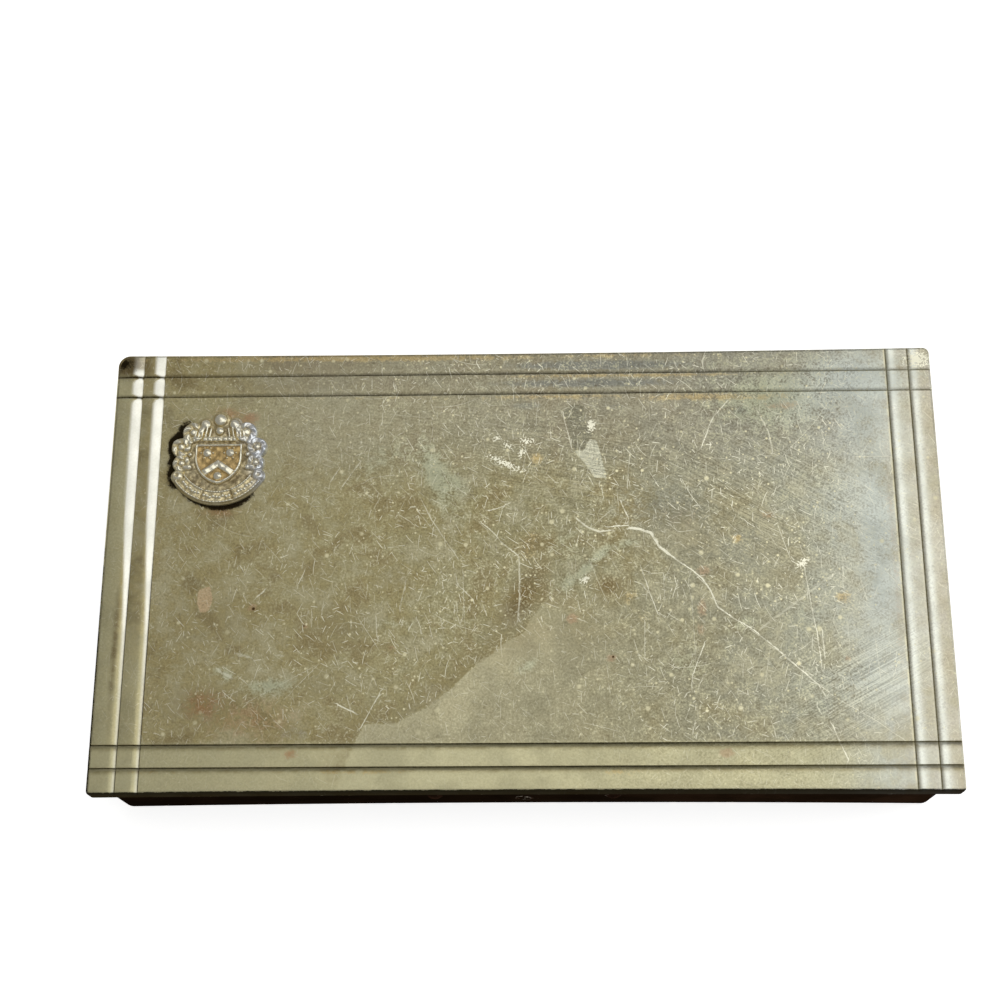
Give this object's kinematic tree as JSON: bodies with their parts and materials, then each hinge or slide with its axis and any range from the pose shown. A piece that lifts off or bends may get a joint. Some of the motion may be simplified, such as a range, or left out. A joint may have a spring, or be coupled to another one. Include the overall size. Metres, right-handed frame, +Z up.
{
  "type": "hinged tin money box",
  "caption": "Flat hinged money box of thin sheet metal with a pressed border on the lid, a small heraldic badge and a till lock inside.",
  "frame": {"origin": "middle of the underside of the box, between its four walls", "axes": "+Z up through the lid, +Y towards the hinges at the back, +X to the right seen from the front"},
  "size_m": [0.165, 0.0909, 0.0255],
  "materials": {
    "plated_lid": "worn olive-grey plating with scratches, brown patina and rust specks",
    "japanned_tin": "dark red-brown japanning, chipped at the edges",
    "gilt_lacquer": "gold lacquer on tinplate, slightly dulled",
    "plated_hinge": "dull plated steel",
    "bare_steel": "oiled bare steel with light rust",
    "lock_brass": "sawn brass, dulled",
    "badge_metal": "die-struck brass with worn silvering on the high points"
  },
  "bodies": {
    "case": {"body_wall": "japanned_tin", "rim_wire": "bare_steel", "base_pan": "japanned_tin", "hinge_body_leaf_left": "plated_hinge", "hinge_body_leaf_right": "plated_hinge", "hinge_pin_left": "bare_steel", "hinge_pin_right": "bare_steel", "hinge_rivets": "plated_hinge", "lock_case": "bare_steel", "lock_rivets": "japanned_tin", "key_post": "bare_steel", "bolt_guide_pins": "bare_steel", "bolt_spring": "bare_steel"},
    "lid": {"lid_pressing": "plated_lid", "lid_lining_pan": "gilt_lacquer", "crest_badge": "badge_metal", "badge_lugs": "badge_metal", "hinge_lid_leaf_left": "plated_hinge", "hinge_lid_leaf_right": "plated_hinge", "lock_tongue": "bare_steel", "tongue_rivets": "bare_steel"},
    "bolt": {"lock_bolt": "lock_brass"}
  },
  "joints": [
    {"name": "lid_hinge", "type": "hinge", "parent": "case", "child": "lid", "pos_m": [0, 0.0448, 0.019], "axis": [-1, 0, 0], "range_deg": [0, 180]},
    {"name": "bolt_slide", "type": "slide", "parent": "case", "child": "bolt", "axis": [1, 0, 0], "range_m": [0, 0.0035]}
  ]
}
